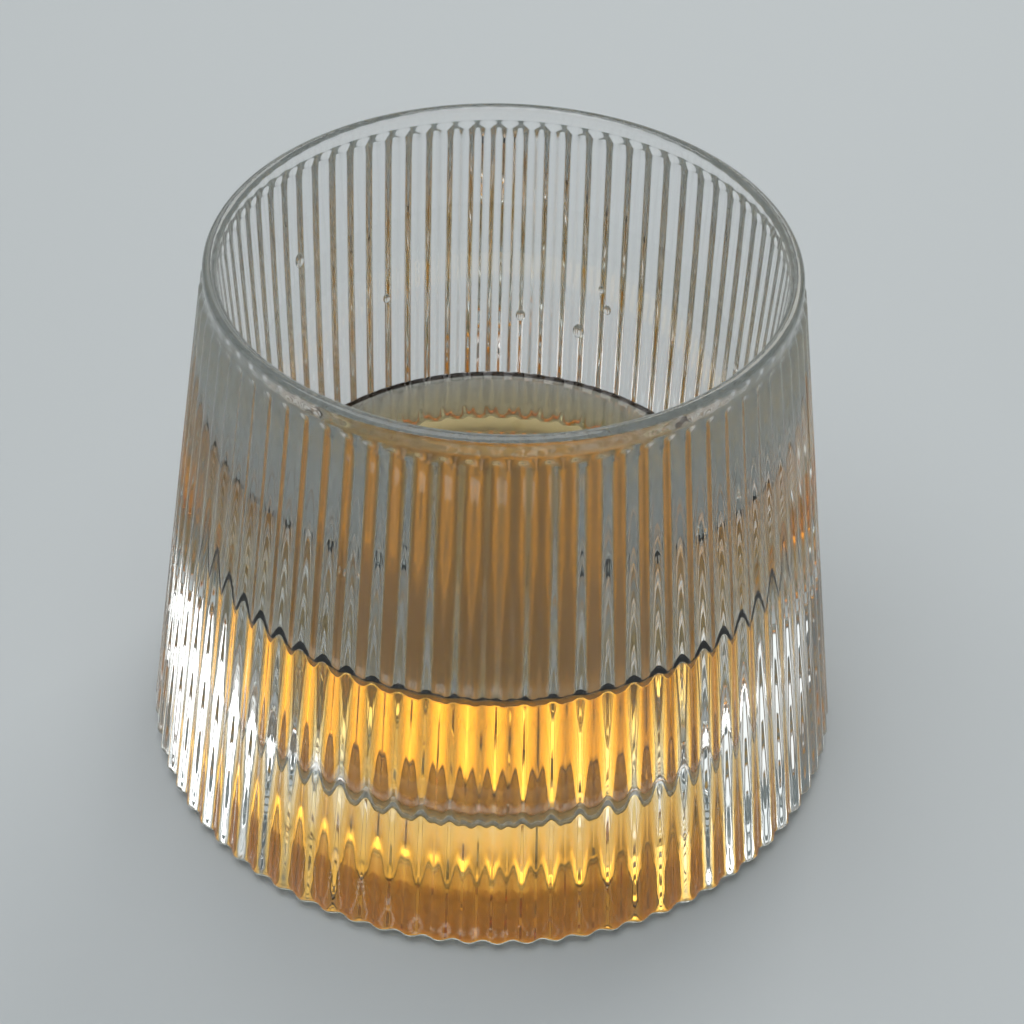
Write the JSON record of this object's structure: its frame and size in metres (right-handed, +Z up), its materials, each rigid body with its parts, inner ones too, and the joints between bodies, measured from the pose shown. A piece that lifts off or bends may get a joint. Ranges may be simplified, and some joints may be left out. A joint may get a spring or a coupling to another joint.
{
  "type": "whiskey tumbler",
  "caption": "Clear reeded glass tumbler, wide heavy base narrowing to a smooth lip, partly filled with whiskey; stands free on its foot.",
  "frame": {"origin": "on the surface the tumbler stands on, at the middle of its foot", "axes": "+Z up, out of the mouth, along the axis of the glass; +X through the crest of a reed"},
  "size_m": [0.098, 0.098, 0.0768],
  "materials": {
    "clear_glass": "polished",
    "whiskey": "gloss"
  },
  "bodies": {
    "root": {"glass_tumbler": "clear_glass", "whiskey": "whiskey"}
  },
  "joints": []
}
